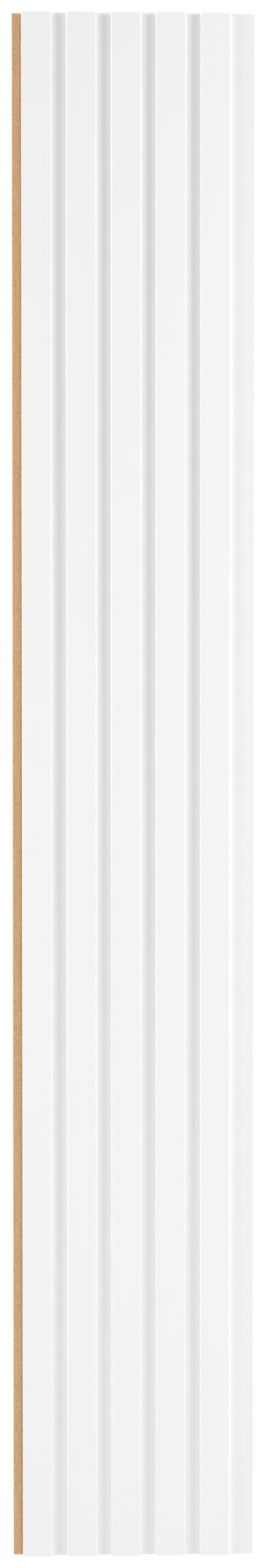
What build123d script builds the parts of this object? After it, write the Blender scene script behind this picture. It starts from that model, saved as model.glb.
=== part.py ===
"""Slatted wall panel: one length of moulded board with square slats and grooves on its face.

The panel lies on its back. X runs across it from the lip to the tongue, Y runs along it,
and the slats stand up in Z. The origin is under the middle, on the plane of the back.
"""
import os

from build123d import *

# Size of the board
panel_length = 2600.0
board_thickness = 16.0

# Slats and grooves of the face
slat_count = 5
slat_width = 50.0
groove_width = 25.0
groove_depth = 7.0

# Edge joint: the tongue of one panel enters the slot above the lip of the next
lip_reach = 16.0
lip_thickness = 3.5
tongue_entry = 16.0
tongue_clearance = 0.2
tongue_end_clearance = 1.0
lip_end_clearance = 1.0

# Rounded corners of the section
slat_arris_radius = 1.5
groove_root_radius = 0.8
tongue_tip_radius = 1.0
lip_tip_radius = 1.0
slot_mouth_radius = 0.6

# Widths that follow from the sizes above
slat_pitch = slat_width + groove_width
face_width = slat_count * slat_pitch - groove_width
tongue_reach = groove_width + tongue_entry
overall_width = lip_reach + face_width + tongue_reach
slot_depth = tongue_entry + tongue_end_clearance
relief_width = tongue_entry + lip_reach + lip_end_clearance

# Heights above the back
groove_floor = board_thickness - groove_depth
slot_ceiling = groove_floor + tongue_clearance
tongue_underside = lip_thickness + tongue_clearance

# Places across the panel
lip_tip = -overall_width / 2
face_start = lip_tip + lip_reach
face_end = face_start + face_width
tongue_tip = face_end + tongue_reach
first_slat_centre = face_start + slat_width / 2

pick_tolerance = 0.01
from_left = (Align.MIN, Align.MIN)
from_right = (Align.MAX, Align.MIN)
from_middle = (Align.CENTER, Align.MIN)

os.makedirs("parts", exist_ok=True)

with BuildPart() as slatted_panel:
    with BuildSketch(Plane.XZ) as section:
        # Board under the grooves, carried on to the right as the tongue
        with Locations((face_start, 0)):
            Rectangle(face_width + tongue_reach, groove_floor, align=from_left)
        # Slats
        slat_places = [(first_slat_centre + number * slat_pitch, 0) for number in range(slat_count)]
        with Locations(*slat_places):
            Rectangle(slat_width, board_thickness, align=from_middle)
        # Lip that reaches out to the left along the back
        with Locations((lip_tip, 0)):
            Rectangle(lip_reach + slot_depth, lip_thickness, align=from_left)
        # Slot above the lip, open under the edge of the first slat
        with Locations((face_start, lip_thickness)):
            Rectangle(slot_depth, slot_ceiling - lip_thickness, align=from_left, mode=Mode.SUBTRACT)
        # Relief under the tongue that clears the lip of the next panel
        with Locations((tongue_tip, 0)):
            Rectangle(relief_width, tongue_underside, align=from_right, mode=Mode.SUBTRACT)

        # Rounded arrises along the top of every slat
        slat_corners = section.vertices().group_by(Axis.Y)[-1]
        fillet(slat_corners, slat_arris_radius)
        # Rounded roots of the grooves and of the tongue
        floor_corners = section.vertices().filter_by_position(
            Axis.Y, groove_floor - pick_tolerance, groove_floor + pick_tolerance
        ).sort_by(Axis.X)
        fillet(floor_corners[:-1], groove_root_radius)
        # Rounded tip of the tongue
        tongue_corners = section.vertices().group_by(Axis.X)[-1]
        fillet(tongue_corners, tongue_tip_radius)
        # Rounded upper edge of the lip
        lip_corner = section.vertices().group_by(Axis.X)[0].sort_by(Axis.Y)[-1]
        fillet(lip_corner, lip_tip_radius)
        # Rounded mouth of the slot, on the underside of the first slat
        mouth_corner = section.vertices().filter_by_position(
            Axis.Y, slot_ceiling - pick_tolerance, slot_ceiling + pick_tolerance
        ).sort_by(Axis.X)[0]
        fillet(mouth_corner, slot_mouth_radius)
    extrude(amount=panel_length / 2, both=True)
slatted_panel.part.label = "slatted_panel"

export_step(slatted_panel.part, "parts/slatted_panel.step")
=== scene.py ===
"""White slatted wall panel of coated fibreboard, lying on its back under soft studio light.

X runs across the panel from the lip to the tongue, Y runs along it and Z points out of its face.
Lengths are in metres.
"""
import math
from typing import NamedTuple

import bpy
import numpy as np
from bpy.props import FloatProperty, FloatVectorProperty, IntProperty, PointerProperty
from mathutils import Matrix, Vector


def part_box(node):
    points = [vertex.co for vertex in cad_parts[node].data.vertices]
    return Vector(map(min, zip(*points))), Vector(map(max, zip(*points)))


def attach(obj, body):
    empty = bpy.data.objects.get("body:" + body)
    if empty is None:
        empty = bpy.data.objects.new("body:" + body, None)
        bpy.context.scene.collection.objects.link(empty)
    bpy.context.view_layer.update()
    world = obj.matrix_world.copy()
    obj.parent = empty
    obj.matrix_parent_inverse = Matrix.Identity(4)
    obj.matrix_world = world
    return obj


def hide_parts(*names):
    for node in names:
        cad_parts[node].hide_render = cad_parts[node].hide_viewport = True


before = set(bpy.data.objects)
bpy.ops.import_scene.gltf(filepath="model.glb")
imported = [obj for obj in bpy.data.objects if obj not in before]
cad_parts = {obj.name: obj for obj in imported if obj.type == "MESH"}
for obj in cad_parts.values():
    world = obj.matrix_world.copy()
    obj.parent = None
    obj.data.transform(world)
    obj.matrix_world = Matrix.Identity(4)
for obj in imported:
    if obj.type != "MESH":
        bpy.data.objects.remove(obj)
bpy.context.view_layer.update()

bl_info = {
    "name": "Slatted wall panel",
    "version": (1, 0, 0),
    "blender": (4, 5, 0),
    "location": "View3D > Sidebar > Panel",
    "description": "Builds a white slatted wall panel with raw board edges, and its studio",
    "category": "Add Mesh",
}

# The part in the frame, and its box before anything is added
NODE = "slatted_panel"
BODY = "root"
NODE_LOW, NODE_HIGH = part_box(NODE)

# Points on each rounded corner of the section, and rows of points along the length
ARC_POINTS = 9
ROW_COUNT = 53
# Distance from each rounded corner to the point that keeps the flat beside it flat in the shading
EDGE_SUPPORT = 0.0001
# Distance over which the coating thins out at its two edges, seen on the sawn ends
COATING_FADE = 0.0012
# Sharpest turn between two faces that is shaded as a curve
SMOOTH_LIMIT = math.radians(40.0)
# Finishes, numbered in the order of the mesh's materials
COATING, EDGE, BACK, END = range(4)

# Sockets of a Mix node, by number because each kind of data has its own A, B and Result
MIX_FACTOR = 0
VALUE_A, VALUE_B, VALUE_RESULT = 2, 3, 0
COLOUR_A, COLOUR_B, COLOUR_RESULT = 6, 7, 2

# Coating: depth and strength of its sprayed grain, and how far its roughness strays from the mean
SPRAY_DEPTH = 0.00008
SPRAY_STRENGTH = 0.12
ROUGHNESS_SPREAD = 0.04
COATING_SPECULAR = 0.5

# Bare board: how fine its fibres and its tool streaks are across, along and through it, the scale of the
# streaks, the share of flecks among the fibres, the tone that contrast leaves alone and the relief's depth
FIBRE_LIE = (2.0, 1.0, 5.0)
STREAK_LIE = (1.0, 0.02, 1.0)
STREAK_SCALE = 700.0
FLECK_SHARE = 0.5
MIDDLE_TONE = 0.5
FIBRE_DEPTH = 0.0004
BOARD_SPECULAR = 0.25


class BoardFinish(NamedTuple):
    """How a tool leaves bare board: settings of the grain, roughness, relief and share of colour."""

    name: str
    clump_scale: float
    fleck_scale: float
    streak: float
    contrast: float
    roughness: float
    relief: float
    shade: float


# In the order of the finishes after the coating
BOARD_FINISHES = (
    BoardFinish(
        name="milled_board", clump_scale=430.0, fleck_scale=900.0, streak=0.12, contrast=4.0,
        roughness=0.85, relief=0.12, shade=1.0),
    BoardFinish(
        name="sanded_back", clump_scale=300.0, fleck_scale=1100.0, streak=0.4, contrast=1.6,
        roughness=0.75, relief=0.15, shade=0.92),
    BoardFinish(
        name="sawn_end", clump_scale=300.0, fleck_scale=800.0, streak=0.05, contrast=2.4,
        roughness=0.9, relief=0.5, shade=0.9),
)


class SoftBox(NamedTuple):
    """Rectangular lamp: place, point aimed at, size across and along, watts and colour."""

    name: str
    place: tuple
    aim: tuple
    size: tuple
    watts: float
    colour: tuple


# Lamps, and the colours of the even light from all round and of the background that shows
LAMPS = (
    SoftBox("over_foot", (0.0, -1.6, 2.0), (0.0, -1.4, 0.0), (1.4, 1.6), 9.0, (0.86, 0.87, 1.0)),
    SoftBox("over_middle", (0.0, 0.0, 3.0), (0.0, 0.0, 0.0), (1.2, 6.0), 13.0, (1.0, 1.0, 0.95)),
    SoftBox("right_side", (2.25, 0.9, 0.84), (0.0, 0.65, 0.0), (0.47, 3.0), 39.0, (0.90, 0.915, 1.0)),
    SoftBox("left_side", (-2.27, 0.9, 0.79), (0.0, 0.65, 0.0), (0.38, 3.0), 18.0, (1.0, 1.0, 0.87)),
    SoftBox("right_low", (2.3, -0.3, 0.2), (0.0, -0.2, 0.0), (0.24, 4.8), 25.0, (0.985, 0.985, 1.0)),
    SoftBox("left_low_head", (-2.3, 1.1, 0.2), (0.0, 0.77, 0.0), (0.24, 2.6), 29.0, (0.98, 0.98, 1.0)),
    SoftBox("left_low_foot", (-2.3, -1.1, 0.2), (0.0, -0.77, 0.0), (0.24, 2.6), 16.0, (0.98, 0.98, 1.0)),
)
FILL_LIGHT = (1.0, 0.98, 0.945)
WHITE = (1.0, 1.0, 1.0)

# Floor: half its side, its drop below the panel's back, its glow near the panel and far from it, the
# distances between which the glow rises, and the share of light and shadow that the camera sees on it
FLOOR_HALF = 9.0
FLOOR_DROP = 0.0003
GLOW_NEAR, GLOW_FAR = 0.75, 0.85
RISE_FROM, RISE_TO = 1.4, 2.3
FLOOR_SHADOW = 0.33


class PanelSizes(bpy.types.PropertyGroup):
    """Sizes of the panel's section and length."""

    length: FloatProperty(
        name="Length", description="Length of the panel along its slats",
        default=NODE_HIGH.y - NODE_LOW.y, unit="LENGTH")
    thickness: FloatProperty(
        name="Thickness", description="Height of the slat faces above the back",
        default=NODE_HIGH.z - NODE_LOW.z, unit="LENGTH")
    slat_count: IntProperty(
        name="Slats", description="Number of slats across the face", default=5, min=1)
    slat_width: FloatProperty(
        name="Slat width", description="Width of each slat", default=0.050, unit="LENGTH")
    groove_width: FloatProperty(
        name="Groove width", description="Width of each groove", default=0.025, unit="LENGTH")
    groove_depth: FloatProperty(
        name="Groove depth", description="Depth of the grooves below the slat faces",
        default=0.007, unit="LENGTH")
    lip_reach: FloatProperty(
        name="Lip reach", description="How far the raw lip stands out from the first slat",
        default=0.016, unit="LENGTH")
    lip_thickness: FloatProperty(
        name="Lip thickness", description="Thickness of the raw lip", default=0.0035, unit="LENGTH")
    tongue_entry: FloatProperty(
        name="Tongue entry", description="How far the tongue enters the slot of the next panel",
        default=0.016, unit="LENGTH")
    side_clearance: FloatProperty(
        name="Side clearance", description="Play above and below the tongue in the slot",
        default=0.0002, unit="LENGTH")
    end_clearance: FloatProperty(
        name="End clearance", description="Play past the tongue's tip and past the lip's tip",
        default=0.001, unit="LENGTH")
    arris_radius: FloatProperty(
        name="Arris radius", description="Rounding of the slats' long edges",
        default=0.0015, unit="LENGTH")
    root_radius: FloatProperty(
        name="Root radius", description="Rounding at the foot of the slats",
        default=0.0008, unit="LENGTH")
    tip_radius: FloatProperty(
        name="Tip radius", description="Rounding of the tongue's tip and the lip's upper edge",
        default=0.001, unit="LENGTH")
    mouth_radius: FloatProperty(
        name="Mouth radius", description="Rounding of the slot's upper mouth",
        default=0.0006, unit="LENGTH")
    coating_thickness: FloatProperty(
        name="Coating thickness", description="Thickness of the white coating seen on the sawn ends",
        default=0.0003, unit="LENGTH")


class PanelFinish(bpy.types.PropertyGroup):
    """Colours and gloss of the coating and the bare board."""

    coating: FloatVectorProperty(
        name="Coating", description="Colour of the satin coating", subtype="COLOR", size=3,
        min=0.0, max=1.0, default=(0.863, 0.876, 0.876))
    coating_shade: FloatVectorProperty(
        name="Coating shade", description="Colour of the coating's faint darker clouds",
        subtype="COLOR", size=3, min=0.0, max=1.0, default=(0.847, 0.860, 0.860))
    coating_roughness: FloatProperty(
        name="Coating roughness", description="Roughness of the satin coating", subtype="FACTOR",
        min=0.0, max=1.0, default=0.42)
    fibre_pale: FloatVectorProperty(
        name="Pale fibre", description="Colour of the board's pale fibres", subtype="COLOR", size=3,
        min=0.0, max=1.0, default=(0.815, 0.57, 0.345))
    fibre_dark: FloatVectorProperty(
        name="Dark fibre", description="Colour of the board's dark fibres", subtype="COLOR", size=3,
        min=0.0, max=1.0, default=(0.47, 0.25, 0.112))


class StudioSettings(bpy.types.PropertyGroup):
    """Light, floor and camera of the studio."""

    lamp_level: FloatProperty(
        name="Lamp level", description="Brightness of all lamps together", default=1.0, min=0.0)
    fill_level: FloatProperty(
        name="Fill level", description="Brightness of the even light from all round",
        default=0.584, min=0.0)
    floor: FloatVectorProperty(
        name="Floor", description="Colour of the floor", subtype="COLOR", size=3,
        min=0.0, max=1.0, default=(0.80, 0.80, 0.80))
    camera_place: FloatVectorProperty(
        name="Camera place", description="Where the camera stands, above the face",
        subtype="TRANSLATION", size=3, unit="LENGTH", default=(-0.122, 0.145, 4.468))
    camera_turn: FloatVectorProperty(
        name="Camera turn", description="Tilt of the camera away from straight down", subtype="EULER",
        size=3, default=(math.radians(-1.72), math.radians(-1.58), 0.0))
    camera_lens: FloatProperty(
        name="Lens", description="Focal length for a 36 mm frame", default=60.76, min=1.0)


def section_corners(sizes):
    """Corners of the section with their radii, clockwise from the slot's mouth over the face.

    A slat adds a foot, two arrises and a foot, one pitch after the slat before it. The tongue with the
    relief under it, and then the back with the lip and the slot, close the loop. Returns rows of X, Z and
    radius, the number of the corner where the coating ends and the number of the corner where the back
    begins.
    """
    pitch = sizes.slat_width + sizes.groove_width
    face_width = sizes.slat_count * pitch - sizes.groove_width
    tongue_reach = sizes.groove_width + sizes.tongue_entry
    lip_tip = -(sizes.lip_reach + face_width + tongue_reach) / 2
    face_start = lip_tip + sizes.lip_reach
    tongue_tip = face_start + face_width + tongue_reach
    slot_end = face_start + sizes.tongue_entry + sizes.end_clearance
    relief_start = tongue_tip - sizes.tongue_entry - sizes.lip_reach - sizes.end_clearance
    floor = sizes.thickness - sizes.groove_depth
    ceiling = floor + sizes.side_clearance
    underside = sizes.lip_thickness + sizes.side_clearance

    starts = face_start + pitch * np.arange(sizes.slat_count)
    ends = starts + sizes.slat_width
    heights = [floor, sizes.thickness, sizes.thickness, floor]
    rounding = [sizes.root_radius, sizes.arris_radius, sizes.arris_radius, sizes.root_radius]
    slats = np.column_stack([
        np.column_stack([starts, starts, ends, ends]).ravel(),
        np.tile(heights, sizes.slat_count),
        np.tile(rounding, sizes.slat_count),
    ])
    slats[0, 1:] = ceiling, sizes.mouth_radius
    tongue = [
        (tongue_tip, floor, sizes.tip_radius),
        (tongue_tip, underside, sizes.tip_radius),
        (relief_start, underside, 0.0),
    ]
    back_and_lip = [
        (relief_start, 0.0, 0.0),
        (lip_tip, 0.0, 0.0),
        (lip_tip, sizes.lip_thickness, sizes.tip_radius),
        (slot_end, sizes.lip_thickness, 0.0),
        (slot_end, ceiling, 0.0),
    ]
    coating_end = len(slats)
    back_start = coating_end + len(tongue)
    return np.concatenate([slats, tongue, back_and_lip]), coating_end, back_start


def rounded_loop(section):
    """Points of a closed loop whose corners are arcs, from rows of X, Z and radius.

    At a corner that turns by t with radius r, the arc starts r tan(t / 2) before the corner, and a point
    of it after the share s is the arc's centre plus the first spoke turned by s t. One more point stands on
    each straight run just outside each arc, so that flat faces stay flat in the shading. A corner of radius
    0 is one point. Returns the points and, for each corner, the number of its last point.
    """
    corners, radii = section[:, :2], section[:, 2]
    before = corners - np.roll(corners, 1, axis=0)
    before /= np.linalg.norm(before, axis=1, keepdims=True)
    after = np.roll(before, -1, axis=0)
    crossed = before[:, 0] * after[:, 1] - before[:, 1] * after[:, 0]
    turn = np.arctan2(crossed, (before * after).sum(axis=1))
    reach = radii * np.tan(np.abs(turn) / 2)
    inward = np.sign(turn)[:, None] * np.column_stack([-before[:, 1], before[:, 0]])
    first = corners - before * reach[:, None]
    centre = first + inward * radii[:, None]
    angle = turn[:, None] * np.linspace(0.0, 1.0, ARC_POINTS)
    spoke = (first - centre)[:, None, :]
    arc = centre[:, None, :] + np.stack([
        spoke[..., 0] * np.cos(angle) - spoke[..., 1] * np.sin(angle),
        spoke[..., 0] * np.sin(angle) + spoke[..., 1] * np.cos(angle),
    ], axis=2)
    lead = first - before * EDGE_SUPPORT
    trail = corners + after * (reach + EDGE_SUPPORT)[:, None]
    samples = np.concatenate([lead[:, None, :], arc, trail[:, None, :]], axis=1)
    # A square corner keeps the first point of its arc, which is the corner itself
    square = radii == 0.0
    kept = np.ones(samples.shape[:2], bool)
    kept[square] = False
    kept[square, 1] = True
    last = np.cumsum(kept.sum(axis=1)) - 1
    return samples[kept], last


def coating_rim(loop, coated, thickness):
    """Inner edge of the coating on a sawn end, as points in X and Z.

    A point of the coated stretch of the loop moves inwards by the coating's thickness, along the mean of
    the outward normals of the two runs that meet there. Close to both ends of the stretch the move fades
    to nothing, in proportion to the way along it. The first and the last point, which don't move, are left
    out.
    """
    run = np.roll(loop, -1, axis=0) - loop
    run /= np.linalg.norm(run, axis=1, keepdims=True)
    normal = np.column_stack([-run[:, 1], run[:, 0]])
    normal = normal + np.roll(normal, 1, axis=0)
    normal /= np.linalg.norm(normal, axis=1, keepdims=True)
    outer = loop[coated]
    step = np.linalg.norm(np.diff(outer, axis=0), axis=1)
    travel = np.concatenate([[0.0], np.cumsum(step)])
    fade = np.clip(np.minimum(travel, travel[-1] - travel) / COATING_FADE, 0.0, 1.0)
    inner = outer - normal[coated] * (fade * thickness)[:, None]
    return inner[1:-1]


def end_faces(outer, inner, bare):
    """Faces of one sawn end, from the numbers of its points.

    Quads of coating lie between the outer and the inner edge, a triangle closes them at each end, where the
    two edges meet, and one last face of bare board fills the rest.
    """
    quads = np.column_stack([outer[1:-2], outer[2:-1], inner[1:], inner[:-1]]).tolist()
    first_corner = [outer[0], outer[1], inner[0]]
    last_corner = [outer[-2], outer[-1], inner[-1]]
    board = np.concatenate([outer[:1], inner, outer[-1:], bare]).tolist()
    return [*quads, first_corner, last_corner, board]


def panel_mesh(sizes):
    """Mesh of the panel: the rounded section carried along Y, with closed ends.

    A point of the surface is the loop's point in X and Z and the row's place in Y. On each end a ring of
    coating lies along the coated stretch of the loop, and bare board fills the rest. Returns the points,
    the faces and the finish of each face.
    """
    section, coating_end, back_start = section_corners(sizes)
    loop, last = rounded_loop(section)
    count = len(loop)
    rows = np.linspace(-0.5, 0.5, ROW_COUNT) * sizes.length
    # The coating reaches from the arc at the slot's mouth to the arc over the tongue's tip
    coat_from, coat_to = last[0] - 1, last[coating_end] - 1

    surface = np.empty((ROW_COUNT, count, 3))
    surface[..., 0] = loop[:, 0]
    surface[..., 1] = rows[:, None]
    surface[..., 2] = loop[:, 1]
    here = np.arange(count)
    there = np.roll(here, -1)
    base = (np.arange(ROW_COUNT - 1) * count)[:, None]
    sides = np.stack([base + here, base + there, base + there + count, base + here + count], axis=2)
    strip_finish = np.full(count, EDGE)
    strip_finish[coat_from:coat_to] = COATING
    strip_finish[last[back_start]] = BACK

    points = [surface.reshape(-1, 3)]
    faces = sides.reshape(-1, 4).tolist()
    finishes = [np.tile(strip_finish, ROW_COUNT - 1)]
    inner = coating_rim(loop, slice(coat_from, coat_to + 1), sizes.coating_thickness)
    for row, winding in ((0, -1), (ROW_COUNT - 1, 1)):
        outer_ids = row * count + np.arange(coat_from, coat_to + 1)
        inner_ids = sum(map(len, points)) + np.arange(len(inner))
        bare_ids = row * count + np.arange(coat_to + 1, coat_from + count) % count
        cap = end_faces(outer_ids, inner_ids, bare_ids)
        points.append(np.column_stack([inner[:, 0], np.full(len(inner), rows[row]), inner[:, 1]]))
        faces += [face[::winding] for face in cap]
        finishes.append(np.append(np.full(len(cap) - 1, COATING), END))
    return np.concatenate(points), faces, np.concatenate(finishes)


def add_node(tree, kind, **settings):
    """New node of a tree with its properties set."""
    node = tree.nodes.new(kind)
    for name, value in settings.items():
        setattr(node, name, value)
    return node


def set_inputs(node, values):
    """Sets constant inputs of a node by name."""
    for name, value in values.items():
        node.inputs[name].default_value = value


def rgba(colour):
    """Colour with full alpha."""
    return (*colour, 1.0)


def fibre_group():
    """Node group for bare fibreboard: felted fibres lying flat in the board, fine flecks and tool streaks.

    The height mixes three noises: clumps of fibre, squeezed flat through the board and longer along it
    than across, fine flecks of the same shape, and streaks drawn out along the board by the cutter or the
    sander. The tone is the middle tone plus the height's distance from it times the contrast, held between
    0 and 1.
    """
    group = bpy.data.node_groups.new("felted_fibre", "ShaderNodeTree")
    for name in ("Clump Scale", "Fleck Scale", "Streak", "Contrast"):
        group.interface.new_socket(name, in_out="INPUT", socket_type="NodeSocketFloat")
    for name in ("Tone", "Height"):
        group.interface.new_socket(name, in_out="OUTPUT", socket_type="NodeSocketFloat")
    entry = add_node(group, "NodeGroupInput")
    leave = add_node(group, "NodeGroupOutput")
    place = add_node(group, "ShaderNodeTexCoord")
    lying = add_node(group, "ShaderNodeMapping")
    set_inputs(lying, {"Scale": FIBRE_LIE})
    drawn = add_node(group, "ShaderNodeMapping")
    set_inputs(drawn, {"Scale": STREAK_LIE})
    clump = add_node(group, "ShaderNodeTexNoise")
    set_inputs(clump, {"Detail": 3.0, "Roughness": 0.55})
    fleck = add_node(group, "ShaderNodeTexNoise")
    set_inputs(fleck, {"Detail": 2.0, "Roughness": 0.6})
    streak = add_node(group, "ShaderNodeTexNoise")
    set_inputs(streak, {"Scale": STREAK_SCALE, "Detail": 2.0, "Roughness": 0.5})
    felt = add_node(group, "ShaderNodeMix", data_type="FLOAT")
    felt.inputs[MIX_FACTOR].default_value = FLECK_SHARE
    height = add_node(group, "ShaderNodeMix", data_type="FLOAT")
    distance = add_node(group, "ShaderNodeMath", operation="SUBTRACT")
    distance.inputs[1].default_value = MIDDLE_TONE
    gain = add_node(group, "ShaderNodeMath", operation="MULTIPLY")
    tone = add_node(group, "ShaderNodeMath", operation="ADD", use_clamp=True)
    tone.inputs[1].default_value = MIDDLE_TONE
    link = group.links.new
    link(place.outputs["Object"], lying.inputs["Vector"])
    link(place.outputs["Object"], drawn.inputs["Vector"])
    link(lying.outputs["Vector"], clump.inputs["Vector"])
    link(lying.outputs["Vector"], fleck.inputs["Vector"])
    link(drawn.outputs["Vector"], streak.inputs["Vector"])
    link(entry.outputs["Clump Scale"], clump.inputs["Scale"])
    link(entry.outputs["Fleck Scale"], fleck.inputs["Scale"])
    link(clump.outputs["Fac"], felt.inputs[VALUE_A])
    link(fleck.outputs["Fac"], felt.inputs[VALUE_B])
    link(entry.outputs["Streak"], height.inputs[MIX_FACTOR])
    link(felt.outputs[VALUE_RESULT], height.inputs[VALUE_A])
    link(streak.outputs["Fac"], height.inputs[VALUE_B])
    link(height.outputs[VALUE_RESULT], distance.inputs[0])
    link(distance.outputs[0], gain.inputs[0])
    link(entry.outputs["Contrast"], gain.inputs[1])
    link(gain.outputs[0], tone.inputs[0])
    link(tone.outputs[0], leave.inputs["Tone"])
    link(height.outputs[VALUE_RESULT], leave.inputs["Height"])
    return group


def board_material(board, group, finish):
    """Bare board: the fibre group's tone mixes dark and pale fibre, and its height roughens the surface."""
    material = bpy.data.materials.new(board.name)
    material.use_nodes = True
    tree = material.node_tree
    shader = tree.nodes["Principled BSDF"]
    set_inputs(shader, {"Roughness": board.roughness, "Specular IOR Level": BOARD_SPECULAR})
    fibre = add_node(tree, "ShaderNodeGroup", node_tree=group)
    set_inputs(fibre, {
        "Clump Scale": board.clump_scale, "Fleck Scale": board.fleck_scale,
        "Streak": board.streak, "Contrast": board.contrast})
    colour = add_node(tree, "ShaderNodeMix", data_type="RGBA")
    colour.inputs[COLOUR_A].default_value = rgba(np.array(finish.fibre_dark) * board.shade)
    colour.inputs[COLOUR_B].default_value = rgba(np.array(finish.fibre_pale) * board.shade)
    bump = add_node(tree, "ShaderNodeBump")
    set_inputs(bump, {"Strength": board.relief, "Distance": FIBRE_DEPTH})
    link = tree.links.new
    link(fibre.outputs["Tone"], colour.inputs[MIX_FACTOR])
    link(colour.outputs[COLOUR_RESULT], shader.inputs["Base Color"])
    link(fibre.outputs["Height"], bump.inputs["Height"])
    link(bump.outputs["Normal"], shader.inputs["Normal"])
    return material


def coating_material(finish):
    """Satin coating: faint clouds in its tone and its roughness, and a fine sprayed grain in its relief."""
    material = bpy.data.materials.new("satin_white_coating")
    material.use_nodes = True
    tree = material.node_tree
    shader = tree.nodes["Principled BSDF"]
    set_inputs(shader, {"Specular IOR Level": COATING_SPECULAR})
    place = add_node(tree, "ShaderNodeTexCoord")
    cloud = add_node(tree, "ShaderNodeTexNoise")
    set_inputs(cloud, {"Scale": 14.0, "Detail": 4.0, "Roughness": 0.6})
    grain = add_node(tree, "ShaderNodeTexNoise")
    set_inputs(grain, {"Scale": 750.0, "Detail": 2.0, "Roughness": 0.5})
    colour = add_node(tree, "ShaderNodeMix", data_type="RGBA")
    colour.inputs[COLOUR_A].default_value = rgba(finish.coating_shade)
    colour.inputs[COLOUR_B].default_value = rgba(finish.coating)
    roughness = add_node(tree, "ShaderNodeMapRange")
    set_inputs(roughness, {
        "From Min": 0.3, "From Max": 0.7,
        "To Min": finish.coating_roughness - ROUGHNESS_SPREAD,
        "To Max": finish.coating_roughness + ROUGHNESS_SPREAD})
    bump = add_node(tree, "ShaderNodeBump")
    set_inputs(bump, {"Strength": SPRAY_STRENGTH, "Distance": SPRAY_DEPTH})
    link = tree.links.new
    link(place.outputs["Object"], cloud.inputs["Vector"])
    link(place.outputs["Object"], grain.inputs["Vector"])
    link(cloud.outputs["Fac"], colour.inputs[MIX_FACTOR])
    link(colour.outputs[COLOUR_RESULT], shader.inputs["Base Color"])
    link(cloud.outputs["Fac"], roughness.inputs["Value"])
    link(roughness.outputs["Result"], shader.inputs["Roughness"])
    link(grain.outputs["Fac"], bump.inputs["Height"])
    link(bump.outputs["Normal"], shader.inputs["Normal"])
    return material


class MakePanel(bpy.types.Operator):
    """Builds the slatted panel with its white face and bare board edges, ends and back."""

    bl_idname = "slatted_panel.make_panel"
    bl_label = "Make Panel"

    def execute(self, context):
        finish = context.scene.panel_finish
        points, faces, finishes = panel_mesh(context.scene.panel_sizes)
        mesh = bpy.data.meshes.new("coated_panel")
        mesh.from_pydata(points, [], faces)
        mesh.polygons.foreach_set("material_index", finishes.astype(np.int32))
        mesh.polygons.foreach_set("use_smooth", np.ones(len(faces), bool))
        mesh.materials.append(coating_material(finish))
        group = fibre_group()
        for board in BOARD_FINISHES:
            mesh.materials.append(board_material(board, group, finish))
        mesh.update()
        mesh.set_sharp_from_angle(angle=SMOOTH_LIMIT)
        if mesh.validate():
            raise RuntimeError("The panel's mesh has broken faces")
        panel = bpy.data.objects.new("coated_panel", mesh)
        context.scene.collection.objects.link(panel)
        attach(panel, BODY)
        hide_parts(NODE)
        return {"FINISHED"}


def white_rays(tree):
    """Socket that is 1 for rays from the camera, from gloss and through glass, and 0 for other rays."""
    path = add_node(tree, "ShaderNodeLightPath")
    either = add_node(tree, "ShaderNodeMath", operation="MAXIMUM")
    every = add_node(tree, "ShaderNodeMath", operation="MAXIMUM")
    tree.links.new(path.outputs["Is Camera Ray"], either.inputs[0])
    tree.links.new(path.outputs["Is Glossy Ray"], either.inputs[1])
    tree.links.new(either.outputs[0], every.inputs[0])
    tree.links.new(path.outputs["Is Transmission Ray"], every.inputs[1])
    return every.outputs[0]


def floor_material(colour):
    """White studio floor: plain matt to the light, and to the camera a white that keeps the soft shadow.

    Its glow rises away from the panel, where the lamps no longer reach it.
    """
    material = bpy.data.materials.new("studio_floor")
    material.use_nodes = True
    tree = material.node_tree
    tree.nodes.remove(tree.nodes["Principled BSDF"])
    matt = add_node(tree, "ShaderNodeBsdfDiffuse")
    matt.inputs["Color"].default_value = rgba(colour)
    shadow = add_node(tree, "ShaderNodeBsdfDiffuse")
    shadow.inputs["Color"].default_value = rgba((FLOOR_SHADOW,) * 3)
    glow = add_node(tree, "ShaderNodeEmission")
    place = add_node(tree, "ShaderNodeTexCoord")
    away = add_node(tree, "ShaderNodeVectorMath", operation="LENGTH")
    rise = add_node(tree, "ShaderNodeMapRange", interpolation_type="SMOOTHSTEP")
    set_inputs(rise, {
        "From Min": RISE_FROM, "From Max": RISE_TO, "To Min": GLOW_NEAR, "To Max": GLOW_FAR})
    seen = add_node(tree, "ShaderNodeAddShader")
    mix = add_node(tree, "ShaderNodeMixShader")
    link = tree.links.new
    link(place.outputs["Object"], away.inputs[0])
    link(away.outputs["Value"], rise.inputs["Value"])
    link(rise.outputs["Result"], glow.inputs["Strength"])
    link(shadow.outputs[0], seen.inputs[0])
    link(glow.outputs[0], seen.inputs[1])
    link(white_rays(tree), mix.inputs[0])
    link(matt.outputs[0], mix.inputs[1])
    link(seen.outputs[0], mix.inputs[2])
    link(mix.outputs[0], tree.nodes["Material Output"].inputs["Surface"])
    return material


def studio_floor(colour):
    """Square floor just under the panel's back."""
    corners = np.array([(-1, -1), (1, -1), (1, 1), (-1, 1)]) * FLOOR_HALF
    heights = np.full(len(corners), -FLOOR_DROP)
    mesh = bpy.data.meshes.new("studio_floor")
    mesh.from_pydata(np.column_stack([corners, heights]), [], [(0, 1, 2, 3)])
    mesh.materials.append(floor_material(colour))
    return bpy.data.objects.new("studio_floor", mesh)


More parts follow.
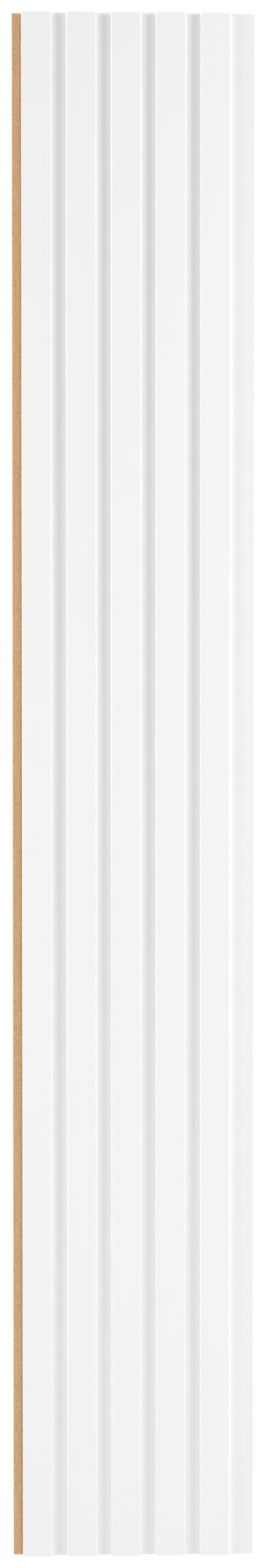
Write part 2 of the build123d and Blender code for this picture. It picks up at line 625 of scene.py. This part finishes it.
def studio_world(level):
    """World that lights evenly at a low level and shows as white."""
    world = bpy.data.worlds.new("studio_world")
    world.use_nodes = True
    tree = world.node_tree
    fill = tree.nodes["Background"]
    set_inputs(fill, {"Color": rgba(FILL_LIGHT), "Strength": level})
    white = add_node(tree, "ShaderNodeBackground")
    set_inputs(white, {"Color": rgba(WHITE)})
    mix = add_node(tree, "ShaderNodeMixShader")
    link = tree.links.new
    link(white_rays(tree), mix.inputs[0])
    link(fill.outputs[0], mix.inputs[1])
    link(white.outputs[0], mix.inputs[2])
    link(mix.outputs[0], tree.nodes["World Output"].inputs["Surface"])
    return world


def aimed(place, target):
    """Transform that stands at a place, points its -Z at a target and keeps its Y close to the +Y axis."""
    back = np.array(place) - np.array(target)
    back /= np.linalg.norm(back)
    side = np.cross((0.0, 1.0, 0.0), back)
    side /= np.linalg.norm(side)
    turn = np.column_stack([side, np.cross(back, side), back])
    return Matrix.Translation(place) @ Matrix(turn.tolist()).to_4x4()


def soft_box(box, level):
    """Rectangular lamp that neither the camera nor the gloss sees."""
    light = bpy.data.lights.new(box.name, "AREA")
    light.shape = "RECTANGLE"
    light.size, light.size_y = box.size
    light.energy = box.watts * level
    light.color = box.colour
    lamp = bpy.data.objects.new(box.name, light)
    lamp.matrix_world = aimed(box.place, box.aim)
    lamp.visible_camera = False
    lamp.visible_glossy = False
    return lamp


def studio_camera(studio):
    """Camera above the face, turned as the settings say."""
    lens = bpy.data.cameras.new("camera")
    lens.lens = studio.camera_lens
    camera = bpy.data.objects.new("camera", lens)
    camera.location = studio.camera_place
    camera.rotation_euler = studio.camera_turn
    return camera


class MakeStage(bpy.types.Operator):
    """Lays the floor and sets the lamps, the world's light and the camera."""

    bl_idname = "slatted_panel.make_stage"
    bl_label = "Make Stage"

    def execute(self, context):
        scene = context.scene
        studio = scene.panel_studio
        floor = studio_floor(studio.floor)
        lamps = [soft_box(box, studio.lamp_level) for box in LAMPS]
        camera = studio_camera(studio)
        for item in (floor, *lamps, camera):
            scene.collection.objects.link(item)
        scene.world = studio_world(studio.fill_level)
        scene.camera = camera
        scene.view_settings.view_transform = "Standard"
        return {"FINISHED"}


class PanelSidebar(bpy.types.Panel):
    """Lists the panel's operators and settings in the 3D view's sidebar."""

    bl_idname = "VIEW3D_PT_slatted_panel"
    bl_label = "Slatted wall panel"
    bl_space_type = "VIEW_3D"
    bl_region_type = "UI"
    bl_category = "Panel"

    def draw(self, context):
        layout = self.layout
        scene = context.scene
        for operator in (MakePanel, MakeStage):
            layout.operator(operator.bl_idname)
        for group in (scene.panel_sizes, scene.panel_finish, scene.panel_studio):
            box = layout.box()
            for name in group.__annotations__:
                box.prop(group, name)


CLASSES = (PanelSizes, PanelFinish, StudioSettings, MakePanel, MakeStage, PanelSidebar)


def register():
    """Registers the classes and gives every scene its settings."""
    for item in CLASSES:
        bpy.utils.register_class(item)
    bpy.types.Scene.panel_sizes = PointerProperty(type=PanelSizes)
    bpy.types.Scene.panel_finish = PointerProperty(type=PanelFinish)
    bpy.types.Scene.panel_studio = PointerProperty(type=StudioSettings)


def unregister():
    """Takes the settings and the classes away again."""
    del bpy.types.Scene.panel_studio
    del bpy.types.Scene.panel_finish
    del bpy.types.Scene.panel_sizes
    for item in reversed(CLASSES):
        bpy.utils.unregister_class(item)


def main():
    """Makes the panel and the stage."""
    register()
    bpy.ops.slatted_panel.make_panel()
    bpy.ops.slatted_panel.make_stage()


if __name__ == "__main__":
    main()
